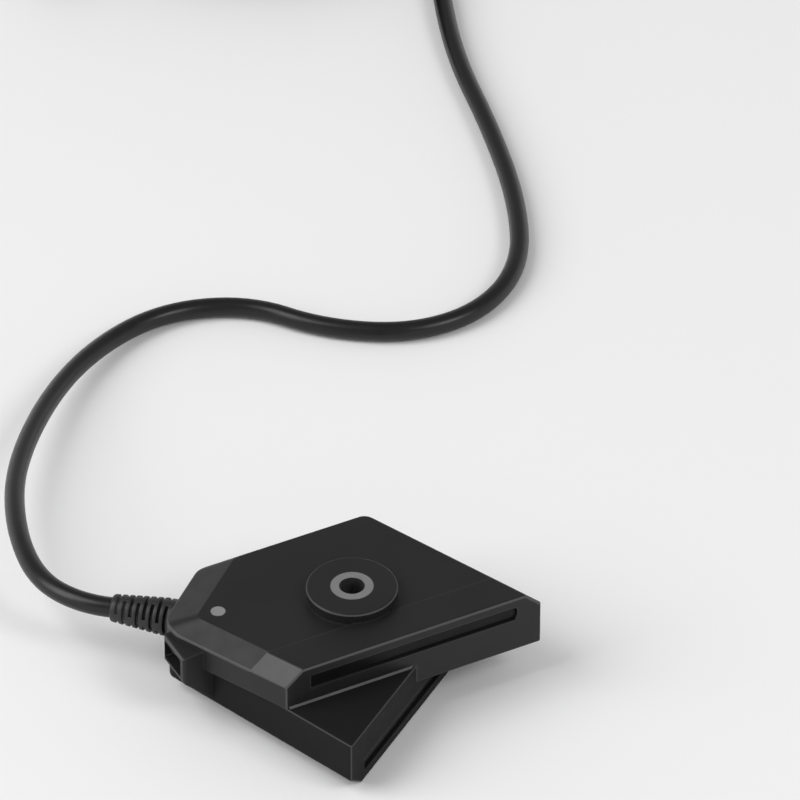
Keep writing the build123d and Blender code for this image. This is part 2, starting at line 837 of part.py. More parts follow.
# Plug along its own axis, from the boot's tip
plug_origin = Vector(*route_to_plug[-1])
plug_direction = (plug_origin - Vector(*route_to_plug[-2])).normalized()
plug_axis = Axis(plug_origin, plug_direction)
plug_side = beside(plug_origin, plug_direction)
barrel_start = boot_length + grip_length
barrel_end = barrel_start + barrel_length
flange_at = barrel_start + flange_start
insert_start = barrel_end - socket_depth - insert_length

with BuildPart() as plug_boot:
    with BuildSketch(plug_side):
        with BuildLine():
            Polyline((0, 0), (0, boot_tip / 2), (boot_length, boot_root / 2), (boot_length, 0), close=True)
        make_face()
    revolve(axis=plug_axis)
    with BuildSketch(plug_side):
        for k in range(boot_grooves):
            along = boot_first_groove + k * boot_groove_pitch
            surface = boot_tip / 2 + (boot_root - boot_tip) / 2 * along / boot_length
            with Locations((along, surface)):
                Rectangle(boot_groove_width, 2 * boot_groove_depth)
    revolve(axis=plug_axis, mode=Mode.SUBTRACT)
write(plug_boot, "plug_boot")

with BuildPart() as plug_body:
    with BuildSketch(plug_side):
        with BuildLine():
            Polyline((boot_length, 0), (boot_length, grip_diameter / 2), (barrel_start, grip_diameter / 2),
                     (barrel_start, barrel_diameter / 2), (flange_at, barrel_diameter / 2),
                     (flange_at, flange_diameter / 2), (flange_at + flange_width, flange_diameter / 2),
                     (flange_at + flange_width, barrel_diameter / 2), (barrel_end, barrel_diameter / 2),
                     (barrel_end, socket_diameter / 2), (insert_start, socket_diameter / 2),
                     (insert_start, 0), close=True)
        make_face()
    revolve(axis=plug_axis)
write(plug_body, "plug_body")

ring_start = flange_at - ring_gap - ring_lip
with BuildPart() as plug_lock_ring:
    with BuildSketch(across(plug_origin, plug_direction, ring_start)):
        Circle(ring_diameter / 2)
        Circle(barrel_diameter / 2 + ring_gap, mode=Mode.SUBTRACT)
        with PolarLocations(ring_diameter / 2, flute_count):
            Circle(flute_diameter / 2, mode=Mode.SUBTRACT)
    extrude(amount=ring_length)
    with BuildSketch(across(plug_origin, plug_direction, ring_start + ring_lip)):
        Circle(ring_socket / 2)
    extrude(amount=ring_length - ring_lip, mode=Mode.SUBTRACT)
write(plug_lock_ring, "plug_lock_ring")

with BuildPart() as plug_insert:
    with BuildSketch(across(plug_origin, plug_direction, insert_start)):
        Circle(socket_diameter / 2 - insert_play)
    extrude(amount=insert_length)
write(plug_insert, "plug_insert")

with BuildPart() as plug_pins:
    with BuildSketch(across(plug_origin, plug_direction, insert_start + insert_length)):
        with PolarLocations(outer_pin_circle / 2, outer_pins):
            Circle(pin_diameter / 2)
        with PolarLocations(inner_pin_circle / 2, inner_pins):
            Circle(pin_diameter / 2)
    extrude(amount=pin_length)
write(plug_pins, "plug_pins")

with BuildPart() as plug_seal:
    with BuildSketch(across(plug_origin, plug_direction, flange_at + flange_width)):
        Circle(barrel_diameter / 2 + face_seal_width)
        Circle(barrel_diameter / 2 + gland_play, mode=Mode.SUBTRACT)
    extrude(amount=face_seal_thickness)
write(plug_seal, "plug_seal")

ring_middle = plug_origin + plug_direction * (ring_start + ring_length / 2)
print("ring centre", tuple(round(value, 3) for value in ring_middle))
print("plug direction", tuple(round(value, 6) for value in plug_direction))
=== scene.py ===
# Sonar transducer with its lead, resting on a pale studio floor. Metres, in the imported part's own frame.
import bpy
import bmesh
import math
from mathutils import Matrix, Vector


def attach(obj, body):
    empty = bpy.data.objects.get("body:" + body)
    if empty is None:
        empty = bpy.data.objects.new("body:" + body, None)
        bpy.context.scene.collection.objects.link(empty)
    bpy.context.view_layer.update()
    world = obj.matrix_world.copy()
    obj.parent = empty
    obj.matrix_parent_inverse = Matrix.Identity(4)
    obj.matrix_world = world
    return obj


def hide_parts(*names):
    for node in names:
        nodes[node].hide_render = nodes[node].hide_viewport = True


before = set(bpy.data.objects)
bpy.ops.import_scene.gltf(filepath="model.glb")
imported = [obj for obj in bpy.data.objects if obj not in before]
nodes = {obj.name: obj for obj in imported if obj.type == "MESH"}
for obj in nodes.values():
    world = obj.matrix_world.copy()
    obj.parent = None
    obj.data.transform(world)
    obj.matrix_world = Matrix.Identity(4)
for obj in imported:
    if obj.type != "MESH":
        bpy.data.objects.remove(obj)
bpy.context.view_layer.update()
print("stage: frame loaded")

# Camera at the photograph's angle, on a long lens
view = {
    "target": (0.03173, 0.02721, 0.08424),
    "turn": -27.5,          # degrees to the left of straight ahead
    "rise": 38.0,           # degrees above level
    "distance": 2.5,
    "lens": 346.5,          # millimetres, as the sensor's width
    "sensor": 36.0,
    "farthest": 50.0,
}


def placeCamera():
    turn = math.radians(view["turn"])
    rise = math.radians(view["rise"])
    away = Vector((math.sin(turn) * math.cos(rise), -math.cos(turn) * math.cos(rise), math.sin(rise)))
    data = bpy.data.cameras.new("camera")
    data.lens = view["lens"]
    data.sensor_width = view["sensor"]
    data.clip_end = view["farthest"]
    camera = bpy.data.objects.new("camera", data)
    camera.location = Vector(view["target"]) + away * view["distance"]
    camera.rotation_euler = (math.pi / 2 - rise, 0.0, turn)
    bpy.context.scene.collection.objects.link(camera)
    bpy.context.scene.camera = camera


# The lead: out of the nose, over the floor in an S, through the coil's turns, then over to the plug
lead = {
    "diameter": 0.0068,
    "exit": (-0.064788, 0.045394, 0.0204),
    "declaredLength": 5.8,
    "tubeRings": 8,
    "tubeSides": 5,
}
toCoil = [
    (-0.0729, 0.0515, 0.0204),
    (-0.0805, 0.0704, 0.0202),
    (-0.0746, 0.0996, 0.0190),
    (-0.0591, 0.1329, 0.0152),
    (-0.0291, 0.1694, 0.0096),
    (0.0009, 0.1924, 0.0052),
    (0.0305, 0.2009, 0.0035),
    (0.0582, 0.1909, 0.0034),
    (0.0742, 0.1673, 0.0034),
    (0.0997, 0.1504, 0.0034),
    (0.1277, 0.1500, 0.0034),
    (0.1526, 0.1675, 0.0034),
    (0.1692, 0.2016, 0.0034),
    (0.1811, 0.2439, 0.0034),
    (0.1900, 0.2870, 0.0034),
    (0.2040, 0.3260, 0.0038),
    (0.2212, 0.3630, 0.0042),
]
toPlug = [
    (0.1880, 0.4706, 0.0244),
    (0.1650, 0.4724, 0.0240),
    (0.1430, 0.4680, 0.0172),
    (0.1260, 0.4530, 0.0108),
]
coil = {
    "centre": (0.1796, 0.4125),
    "startAngle": -27.4,
    "outer": 0.0586,
    "inner": 0.0314,
    "firstLevel": 0.0042,
    "layerStep": 0.0068,
    "layers": 4,
    "layerTurns": 4,
    "riseTurns": 0.75,
    "pointsPerTurn": 16,
}


# One layer runs inwards, the next outwards, and between them the lead climbs for part of a turn
def coilPoints():
    perTurn = coil["pointsPerTurn"]
    turnPull = math.cos(math.pi / perTurn)        # the curve cuts its corners and runs this much further in
    radii = []
    levels = []
    for layer in range(coil["layers"]):
        ends = (coil["outer"], coil["inner"]) if layer % 2 == 0 else (coil["inner"], coil["outer"])
        level = coil["firstLevel"] + layer * coil["layerStep"]
        steps = coil["layerTurns"] * perTurn
        for k in range(steps):
            radii.append(ends[0] + (ends[1] - ends[0]) * k / steps)
            levels.append(level)
        if layer + 1 < coil["layers"]:
            climb = round(coil["riseTurns"] * perTurn)
            for k in range(climb):
                radii.append(ends[1])
                levels.append(level + coil["layerStep"] * (1 - math.cos(math.pi * k / climb)) / 2)
    radii.append(ends[1])
    levels.append(level)
    points = []
    for k, (radius, level) in enumerate(zip(radii, levels)):
        angle = math.radians(coil["startAngle"]) + 2 * math.pi * k / perTurn
        reach = radius / turnPull
        points.append((coil["centre"][0] + reach * math.cos(angle),
                       coil["centre"][1] + reach * math.sin(angle), level))
    return points


def makeLead(material):
    points = [lead["exit"], *toCoil, *coilPoints(), *toPlug, plug["tip"]]
    data = bpy.data.curves.new("lead", "CURVE")
    data.dimensions = "3D"
    spline = data.splines.new("NURBS")
    spline.points.add(len(points) - 1)
    for slot, point in zip(spline.points, points):
        slot.co = (*point, 1.0)
    spline.order_u = 3
    spline.use_endpoint_u = True
    data.resolution_u = lead["tubeRings"]
    data.bevel_depth = lead["diameter"] / 2
    data.bevel_resolution = lead["tubeSides"]
    data.use_fill_caps = True
    data.materials.append(material)
    piece = bpy.data.objects.new("lead", data)
    bpy.context.scene.collection.objects.link(piece)
    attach(piece, "transducer")
    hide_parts("cable", "cable_coil", "cable_end")


# Modelling helpers: each piece is drawn about the world's Z, then laid where it belongs
shaping = {
    "mergeGap": 0.000002,
    "smoothAngle": 40.0,      # edges that turn more than this stay sharp
    "bevelAngle": 35.0,       # edges that turn more than this are rounded
    "faceShare": 0.9,         # a face looks along an axis if this share of its normal does
    "wallShare": 0.5,         # and it is a round piece's wall if less than this share looks along it
}


def deselectAll():
    if bpy.context.object and bpy.context.object.mode != "OBJECT":
        bpy.ops.object.mode_set(mode="OBJECT")
    bpy.ops.object.select_all(action="DESELECT")


# A ring drawn along a closed profile of (height, radius), level by level
def turnedPiece(name, profile, sides):
    deselectAll()
    height, radius = profile[0]
    bpy.ops.mesh.primitive_circle_add(vertices=sides, radius=radius, location=(0.0, 0.0, height))
    piece = bpy.context.object
    piece.name = name
    piece.data.name = name
    bpy.ops.object.transform_apply(location=True, rotation=False, scale=False)
    bpy.ops.object.mode_set(mode="EDIT")
    bpy.ops.mesh.select_mode(type="EDGE")
    bpy.ops.mesh.select_all(action="SELECT")
    for nextHeight, nextRadius in [*profile[1:], profile[0]]:
        bpy.ops.mesh.extrude_edges_move(TRANSFORM_OT_translate={"value": (0.0, 0.0, nextHeight - height)})
        if nextRadius != radius:
            grow = nextRadius / radius
            bpy.ops.transform.resize(value=(grow, grow, 1.0), center_override=(0.0, 0.0, nextHeight))
        height, radius = nextHeight, nextRadius
    bpy.ops.mesh.select_all(action="SELECT")
    bpy.ops.mesh.remove_doubles(threshold=shaping["mergeGap"])
    bpy.ops.mesh.normals_make_consistent(inside=False)
    return piece


# Selects the faces of the piece in edit mode that pass a test of their middle and normal
def selectFaces(piece, test):
    bpy.ops.mesh.select_mode(type="FACE")
    bpy.ops.mesh.select_all(action="DESELECT")
    mesh = bmesh.from_edit_mesh(piece.data)
    for face in mesh.faces:
        face.select_set(test(face.calc_center_median(), face.normal))
    bmesh.update_edit_mesh(piece.data)


# Pushes the selected outer faces straight in towards the axis, to a share of their radius
def sinkFaces(share, height):
    bpy.ops.mesh.extrude_region_move()
    bpy.ops.transform.resize(value=(share, share, 1.0), center_override=(0.0, 0.0, height))


def roundEdges(piece, width, segments, angle=shaping["bevelAngle"]):
    bpy.ops.object.mode_set(mode="OBJECT")
    modifier = piece.modifiers.new("rounding", "BEVEL")
    modifier.width = width
    modifier.segments = segments
    modifier.limit_method = "ANGLE"
    modifier.angle_limit = math.radians(angle)
    bpy.ops.object.modifier_apply(modifier=modifier.name)


# Turns the piece from the world's Z to a direction, with the world's up on its X, and lays it at a point
def layPiece(piece, origin, direction):
    along = Vector(direction).normalized()
    upwards = Vector((0.0, 0.0, 1.0))
    across = along.cross(upwards)
    turn = Matrix((upwards, across, along)).transposed().to_4x4()
    piece.matrix_world = Matrix.Translation(Vector(origin)) @ turn
    bpy.context.view_layer.update()
    bpy.ops.object.transform_apply(location=True, rotation=True, scale=True)


def finishPiece(piece, material, body, replaced):
    deselectAll()
    piece.select_set(True)
    bpy.context.view_layer.objects.active = piece
    bpy.ops.object.shade_smooth_by_angle(angle=math.radians(shaping["smoothAngle"]))
    piece.data.materials.clear()
    piece.data.materials.append(material)
    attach(piece, body)
    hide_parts(*replaced)


def angleOf(spot):
    return math.degrees(math.atan2(spot.y, spot.x)) % 360.0


def within(angle, middle, half):
    return abs((angle - middle + 180.0) % 360.0 - 180.0) < half


def onWall(spot, normal, radius):
    return math.hypot(spot.x, spot.y) > radius and abs(normal.z) < shaping["wallShare"]


# Slots round a taper, in turn open above and below and open to both sides, with the ribs joined between
def cutSlots(piece, middles, slotHalf, slotFloor, halfOpen, surface):
    for k, middle in enumerate(middles):
        openings = (0.0, 180.0) if k % 2 == 0 else (90.0, 270.0)

        def onSlot(spot, normal):
            return (onWall(spot, normal, slotFloor) and abs(spot.z - middle) < slotHalf
                    and any(within(angleOf(spot), side, halfOpen) for side in openings))

        selectFaces(piece, onSlot)
        sinkFaces(slotFloor / surface(middle), middle)


# Strain relief: a ribbed taper from the nose's wall to the lead
relief = {
    "origin": (-0.048149, 0.030200, 0.0204),
    "angle": 137.6,
    "reach": 0.02253,
    "buried": 0.0030,
    "bore": 0.00345,
    "tipRadius": 0.00455,
    "rootRadius": 0.0063,
    "collar": 0.0050,
    "seatRadius": 0.0067,
    "tipRounding": 0.0007,
    "tipShoulder": 0.3,         # share of the rounding at which its middle point lies
    "tipSwell": 0.00006,
    "firstSlot": 0.0026,
    "slotPitch": 0.00238,
    "slotWidth": 0.00105,
    "slots": 8,
    "slotFloor": 0.0041,
    "halfOpen": 74.0,
    "sides": 72,
    "ribRound": 0.00034,
    "roundSteps": 3,
}


def reliefRadius(height):
    share = (relief["reach"] - height) / (relief["reach"] - relief["collar"])
    return relief["tipRadius"] + (relief["rootRadius"] - relief["tipRadius"]) * min(1.0, share)


def makeRelief(material):
    half = relief["slotWidth"] / 2
    reach = relief["reach"]
    outermost = reach - relief["firstSlot"]
    middles = [outermost - k * relief["slotPitch"] for k in range(relief["slots"])]
    tip = relief["tipRadius"]
    rounding = relief["tipRounding"]
    shoulder = rounding * relief["tipShoulder"]
    profile = [(reach, relief["bore"]), (reach, tip - rounding), (reach - shoulder, tip - shoulder),
               (reach - rounding, tip + relief["tipSwell"])]
    for middle in middles:
        profile.append((middle + half, reliefRadius(middle + half)))
        profile.append((middle - half, reliefRadius(middle - half)))
    profile += [(0.0, relief["rootRadius"]), (0.0, relief["seatRadius"]),
                (-relief["buried"], relief["seatRadius"]), (-relief["buried"], relief["bore"])]
    piece = turnedPiece("reliefRibs", profile, relief["sides"])
    cutSlots(piece, middles, half, relief["slotFloor"], relief["halfOpen"], reliefRadius)
    roundEdges(piece, relief["ribRound"], relief["roundSteps"])
    turn = math.radians(relief["angle"])
    layPiece(piece, relief["origin"], (math.cos(turn), math.sin(turn), 0.0))
    finishPiece(piece, material, "transducer", ["strain_relief"])
    print("stage: strain relief made")


# Straps that hold the coil: a hook-and-loop band with a doubled end on its outer side
strap = {
    "angles": [32.5, 212.5],
    "width": 0.0094,
    "thickness": 0.0009,
    "coilInner": 0.0276,
    "coilOuter": 0.0622,
    "bottom": 0.0002,
    "top": 0.0289,
    "corner": 0.0042,
    "cornerSteps": 5,
    "edgeRound": 0.0003,
    "edgeSteps": 2,
    "edgeAngle": 50.0,
    "lapLow": 0.0065,
    "lapHigh": 0.0215,
    "lapThickness": 0.0011,
    "lapSearch": 0.0002,        # how near the outer face a face counts as part of it
}


def makeStrap(k, angle, material):
    deselectAll()
    long = strap["coilOuter"] - strap["coilInner"] + 2 * strap["thickness"]
    tall = strap["top"] - strap["bottom"]
    middle = ((strap["coilInner"] + strap["coilOuter"]) / 2, 0.0, (strap["top"] + strap["bottom"]) / 2)
    bpy.ops.mesh.primitive_cube_add(size=1.0, location=middle, scale=(long, strap["width"], tall))
    piece = bpy.context.object
    piece.name = f"coilStrap{k + 1}"
    piece.data.name = piece.name
    bpy.ops.object.transform_apply(location=True, rotation=False, scale=True)
    bpy.ops.object.mode_set(mode="EDIT")
    bpy.ops.mesh.select_mode(type="EDGE")
    bpy.ops.mesh.select_all(action="DESELECT")
    mesh = bmesh.from_edit_mesh(piece.data)
    for edge in mesh.edges:
        edge.select_set(abs(edge.verts[0].co.y - edge.verts[1].co.y) > strap["width"] / 2)
    bmesh.update_edit_mesh(piece.data)
    bpy.ops.mesh.bevel(offset=strap["corner"], segments=strap["cornerSteps"])
    selectFaces(piece, lambda spot, normal: abs(normal.y) > shaping["faceShare"])
    bpy.ops.mesh.delete(type="FACE")
    bpy.ops.object.mode_set(mode="OBJECT")
    wall = piece.modifiers.new("wall", "SOLIDIFY")
    wall.thickness = strap["thickness"]
    wall.offset = -1.0
    bpy.ops.object.modifier_apply(modifier=wall.name)
    # The end that laps over the band
    bpy.ops.object.mode_set(mode="EDIT")
    outerFace = middle[0] + long / 2

    def onLap(spot, normal):
        outside = normal.x > shaping["faceShare"] and spot.x > outerFace - strap["lapSearch"]
        return outside and strap["lapLow"] < spot.z < strap["lapHigh"]

    for level in (strap["lapLow"], strap["lapHigh"]):
        bpy.ops.mesh.select_all(action="SELECT")
        bpy.ops.mesh.bisect(plane_co=(0.0, 0.0, level), plane_no=(0.0, 0.0, 1.0))
    selectFaces(piece, onLap)
    bpy.ops.mesh.extrude_region_move(TRANSFORM_OT_translate={"value": (strap["lapThickness"], 0.0, 0.0)})
    roundEdges(piece, strap["edgeRound"], strap["edgeSteps"], strap["edgeAngle"])
    piece.rotation_euler = (0.0, 0.0, math.radians(angle))
    piece.location = (*coil["centre"], 0.0)
    bpy.context.view_layer.update()
    bpy.ops.object.transform_apply(location=True, rotation=True, scale=True)
    finishPiece(piece, material, "transducer", ["coil_ties"])
    return piece


# Plug, drawn from the boot's tip: boot, body and turning ring
plug = {
    "tip": (0.1150, 0.4390, 0.0108),
    "direction": (-0.617822, -0.786318, 0.0),
    "sides": 72,
    "bootLength": 0.0280,
    "bootTip": 0.0045,
    "bootRoot": 0.0070,
    "bootBore": 0.0034,
    "bootRound": 0.0003,
    "bootSteps": 3,
    "tipInset": 0.0005,
    "tipLength": 0.0004,
    "grooves": 5,
    "firstGroove": 0.0040,
    "groovePitch": 0.0030,
    "grooveWidth": 0.0012,
    "grooveFloor": 0.0041,
    "halfOpen": 68.0,
    "gripRadius": 0.0088,
    "gripRibs": 18,
    "gripRibHalf": 6.0,
    "gripClear": 1.3,           # of a rib's half, kept clear of the next cut
    "gripSink": 0.95,
    "gripMargin": 0.0012,
    "barrelStart": 0.0356,
    "barrelRadius": 0.0080,
    "barrelEnd": 0.0520,
    "flangeStart": 0.0400,
    "flangeEnd": 0.0420,
    "flangeRadius": 0.0090,
    "socketRadius": 0.0066,
    "socketFloor": 0.0410,
    "axisRadius": 0.0001,
    "axisMerge": 0.00002,
    "bodyRound": 0.00025,
    "ringStart": 0.03595,
    "ringEnd": 0.05095,
    "ringRadius": 0.0105,
    "ringInner": 0.00835,
    "ringLip": 0.03965,
    "ringSocket": 0.0094,
    "ringChamfer": 0.0004,
    "ringRound": 0.0002,
    "flutes": 24,
    "fluteSides": 144,
    "fluteHalf": 3.9,
    "fluteSink": 0.93,
    "fluteMargin": 0.0013,
    "fluteSearch": 0.0003,      # how near the ring's outside a face counts as part of it
    "edgeSteps": 2,
}


def makeBoot(material):
    length, tip, root = plug["bootLength"], plug["bootTip"], plug["bootRoot"]

    def surface(along):
        return tip + (root - tip) * along / length

    profile = [(0.0, plug["bootBore"]), (0.0, tip - plug["tipInset"]),
               (plug["tipLength"], surface(plug["tipLength"]))]
    half = plug["grooveWidth"] / 2
    middles = [plug["firstGroove"] + half + k * plug["groovePitch"] for k in range(plug["grooves"])]
    for middle in middles:
        profile += [(middle - half, surface(middle - half)), (middle + half, surface(middle + half))]
    profile += [(length, root), (length, plug["bootBore"])]
    piece = turnedPiece("plugBoot", profile, plug["sides"])
    cutSlots(piece, middles, half, plug["grooveFloor"], plug["halfOpen"], surface)
    roundEdges(piece, plug["bootRound"], plug["bootSteps"])
    layPiece(piece, plug["tip"], plug["direction"])
    finishPiece(piece, material, "transducer", ["plug_boot"])
    return piece


def makePlugBody(material):
    back, start, end = plug["bootLength"], plug["barrelStart"], plug["barrelEnd"]
    grip, barrel, flange = plug["gripRadius"], plug["barrelRadius"], plug["flangeRadius"]
    low, high = back + plug["gripMargin"], start - plug["gripMargin"]
    profile = [(back, plug["axisRadius"]), (back, grip), (low, grip), (high, grip), (start, grip),
               (start, barrel), (plug["flangeStart"], barrel), (plug["flangeStart"], flange),
               (plug["flangeEnd"], flange), (plug["flangeEnd"], barrel), (end, barrel),
               (end, plug["socketRadius"]), (plug["socketFloor"], plug["socketRadius"]),
               (plug["socketFloor"], plug["axisRadius"])]
    piece = turnedPiece("plugBody", profile, plug["sides"])
    bpy.ops.mesh.select_all(action="SELECT")
    bpy.ops.mesh.remove_doubles(threshold=plug["axisMerge"])
    pitch = 360.0 / plug["gripRibs"]
    ribHalf = plug["gripRibHalf"]

    def betweenRibs(spot, normal):
        onGrip = onWall(spot, normal, barrel) and low < spot.z < high
        return onGrip and (angleOf(spot) + ribHalf) % pitch < pitch - plug["gripClear"] * ribHalf

    selectFaces(piece, betweenRibs)
    sinkFaces(plug["gripSink"], (back + start) / 2)
    roundEdges(piece, plug["bodyRound"], plug["edgeSteps"])
    layPiece(piece, plug["tip"], plug["direction"])
    finishPiece(piece, material, "transducer", ["plug_body"])
    return piece


def makeLockRing(material):
    outer, start, end = plug["ringRadius"], plug["ringStart"], plug["ringEnd"]
    chamfer = plug["ringChamfer"]
    low, high = start + plug["fluteMargin"], end - plug["fluteMargin"]
    profile = [(start, plug["ringInner"]), (start, outer - chamfer), (start + chamfer, outer), (low, outer),
               (high, outer), (end - chamfer, outer), (end, outer - chamfer), (end, plug["ringSocket"]),
               (plug["ringLip"], plug["ringSocket"]), (plug["ringLip"], plug["ringInner"])]
    piece = turnedPiece("plugLockRing", profile, plug["fluteSides"])
    flutes = plug["flutes"]

    def onFlute(spot, normal):
        onRing = onWall(spot, normal, outer - plug["fluteSearch"]) and low < spot.z < high
        return onRing and within(angleOf(spot) * flutes, 0.0, plug["fluteHalf"] * flutes)

    selectFaces(piece, onFlute)
    sinkFaces(plug["fluteSink"], (start + end) / 2)
    roundEdges(piece, plug["ringRound"], plug["edgeSteps"])
    layPiece(piece, plug["tip"], plug["direction"])
    finishPiece(piece, material, "lock_ring", ["plug_lock_ring"])
    return piece


# Node helpers shared by the materials
def newMaterial(name, colour, roughness, metallic=0.0, level=0.5):
    material = bpy.data.materials.new(name)
    material.use_nodes = True
    shader = shaderOf(material)
    shader.inputs["Base Color"].default_value = (*colour, 1.0)
    shader.inputs["Roughness"].default_value = roughness
    shader.inputs["Metallic"].default_value = metallic
    shader.inputs["Specular IOR Level"].default_value = level
    return material


def shaderOf(material):
    return material.node_tree.nodes["Principled BSDF"]


def newNode(material, kind):
    return material.node_tree.nodes.new(kind)


def link(material, source, target):
    material.node_tree.links.new(source, target)


def place(material):
    found = material.node_tree.nodes.get("place")
    if found is None:
        found = newNode(material, "ShaderNodeTexCoord")
        found.name = "place"
    return found.outputs["Object"]


# The place measured from a middle and turned, for a pattern that follows the piece
def centred(material, middle=(0.0, 0.0, 0.0), turn=0.0):
    node = newNode(material, "ShaderNodeMapping")
    node.vector_type = "TEXTURE"
    node.inputs["Location"].default_value = middle
    node.inputs["Rotation"].default_value = (0.0, 0.0, turn)
    link(material, place(material), node.inputs["Vector"])
    return node.outputs["Vector"]


# Noise whose blotches are about that size in metres
def noise(material, size, detail=3.0):
    node = newNode(material, "ShaderNodeTexNoise")
    node.inputs["Scale"].default_value = 1.0 / size
    node.inputs["Detail"].default_value = detail
    link(material, place(material), node.inputs["Vector"])
    return node.outputs["Fac"]


def cells(material, size):
    node = newNode(material, "ShaderNodeTexVoronoi")
    node.inputs["Scale"].default_value = 1.0 / size
    link(material, place(material), node.inputs["Vector"])
    return node.outputs["Distance"]


# A wave texture shows one wave in pi / 10 of its own unit
def waveScale(size):
    return math.pi / (10.0 * size)


def bands(material, source, size):
    node = newNode(material, "ShaderNodeTexWave")
    node.inputs["Scale"].default_value = waveScale(size)
    link(material, source, node.inputs["Vector"])
    return node.outputs["Fac"]


def rings(material, source, size, distortion):
    node = newNode(material, "ShaderNodeTexWave")
    node.wave_type = "RINGS"
    node.rings_direction = "Z"
    node.inputs["Scale"].default_value = waveScale(size)
    node.inputs["Distortion"].default_value = distortion
    link(material, source, node.inputs["Vector"])
    return node.outputs["Fac"]


def spread(material, source, low, high, start=0.3, end=0.7):
    node = newNode(material, "ShaderNodeMapRange")
    node.inputs["From Min"].default_value = start
    node.inputs["From Max"].default_value = end
    node.inputs["To Min"].default_value = low
    node.inputs["To Max"].default_value = high
    link(material, source, node.inputs["Value"])
    return node.outputs["Result"]


def varyRoughness(material, size, low, high):
    rough = spread(material, noise(material, size), low, high)
    link(material, rough, shaderOf(material).inputs["Roughness"])


def mixColours(material, share, first, second):
    node = newNode(material, "ShaderNodeMix")
    node.data_type = "RGBA"
    for side, colour in (("A", first), ("B", second)):
        if isinstance(colour, tuple):
            node.inputs[side].default_value = (*colour, 1.0)
        else:
            link(material, colour, node.inputs[side])
    link(material, share, node.inputs["Factor"])
    return node.outputs["Result"]


def paint(material, colour):
    link(material, colour, shaderOf(material).inputs["Base Color"])


def blotched(material, size, dark, light):
    return mixColours(material, spread(material, noise(material, size), 0.0, 1.0), dark, light)


def addBump(material, source, depth, strength):
    node = newNode(material, "ShaderNodeBump")
    node.inputs["Distance"].default_value = depth
    node.inputs["Strength"].default_value = strength
    link(material, source, node.inputs["Height"])
    found = shaderOf(material).inputs["Normal"]
    if found.links:
        link(material, found.links[0].from_socket, node.inputs["Normal"])
    link(material, node.outputs["Normal"], found)


def doMath(material, operation, first, *values):
    node = newNode(material, "ShaderNodeMath")
    node.operation = operation
    link(material, first, node.inputs[0])
    for k, value in enumerate(values, start=1):
        if isinstance(value, float):
            node.inputs[k].default_value = value
        else:
            link(material, value, node.inputs[k])
    return node.outputs["Value"]


# How much of one direction lies in another, which is linked or fixed
def agreement(material, first, second):
    node = newNode(material, "ShaderNodeVectorMath")
    node.operation = "DOT_PRODUCT"
    link(material, first, node.inputs[0])
    if isinstance(second, tuple):
        node.inputs[1].default_value = second
    else:
        link(material, second, node.inputs[1])
    return node.outputs["Value"]


def partsOf(material, vector):
    node = newNode(material, "ShaderNodeSeparateXYZ")
    link(material, vector, node.inputs["Vector"])
    return node.outputs


# The two mouldings, with a painted highlight on their edges, rounded rims and upright front corner
housing = {
    "upperPlastic": {
        "dark": (0.0115, 0.0115, 0.0121),
        "light": (0.0150, 0.0150, 0.0157),
        "level": 0.26,
        "corner": (-0.530, -0.848, 0.0),        # where its upright front corner looks
    },
    "lowerPlastic": {
        "dark": (0.0120, 0.0120, 0.0125),
        "light": (0.0150, 0.0150, 0.0156),
        "level": 0.04,
        "corner": (-0.292, -0.957, 0.0),
    },
}
mouldedGrain = {
    "blotch": 0.03,
    "rough": (0.39, 0.47),
    "patch": 0.006,
    "grain": 0.0005,
    "grainDepth": 0.00002,
    "grainStrength": 0.7,
    "cell": 0.0011,
    "cellDepth": 0.000012,
    "cellStrength": 0.35,
}
# Painted highlight: a pale colour standing in for the light that edges, rims and the front corner catch
paintedEdgeHighlight = {
    "colour": (0.0640, 0.0640, 0.0660),
    "reach": 0.0009,            # how far from a sharp edge it shows
    "samples": 6,
    "sharpShare": 0.40,
    "sharpFrom": 0.88,
    "sharpTo": 0.99,
    "rimTilt": 0.42,            # a rounded rim's normals rise or fall by this, give or take the half
    "rimHalf": 0.31,
    "cornerSpan": 0.92,
    "cornerFront": -0.020,      # the upright corners lie in front of this
}


# Where the painted highlight goes: in part along sharp edges, and wholly on rounded rims and on the upright
# front corner
def paintedHighlightShare(material, corner):
    normal = newNode(material, "ShaderNodeNewGeometry").outputs["Normal"]
    rounded = newNode(material, "ShaderNodeBevel")
    rounded.samples = paintedEdgeHighlight["samples"]
    rounded.inputs["Radius"].default_value = paintedEdgeHighlight["reach"]
    sharp = spread(material, agreement(material, rounded.outputs["Normal"], normal),
                   paintedEdgeHighlight["sharpShare"], 0.0, paintedEdgeHighlight["sharpFrom"], paintedEdgeHighlight["sharpTo"])
    tilt = doMath(material, "ABSOLUTE", partsOf(material, normal)["Z"])
    rim = doMath(material, "COMPARE", tilt, paintedEdgeHighlight["rimTilt"], paintedEdgeHighlight["rimHalf"])
    looking = doMath(material, "GREATER_THAN", agreement(material, normal, corner), paintedEdgeHighlight["cornerSpan"])
    inFront = doMath(material, "LESS_THAN", partsOf(material, place(material))["Y"], paintedEdgeHighlight["cornerFront"])
    upright = doMath(material, "MULTIPLY", looking, inFront)
    return doMath(material, "MAXIMUM", doMath(material, "MAXIMUM", sharp, rim), upright)


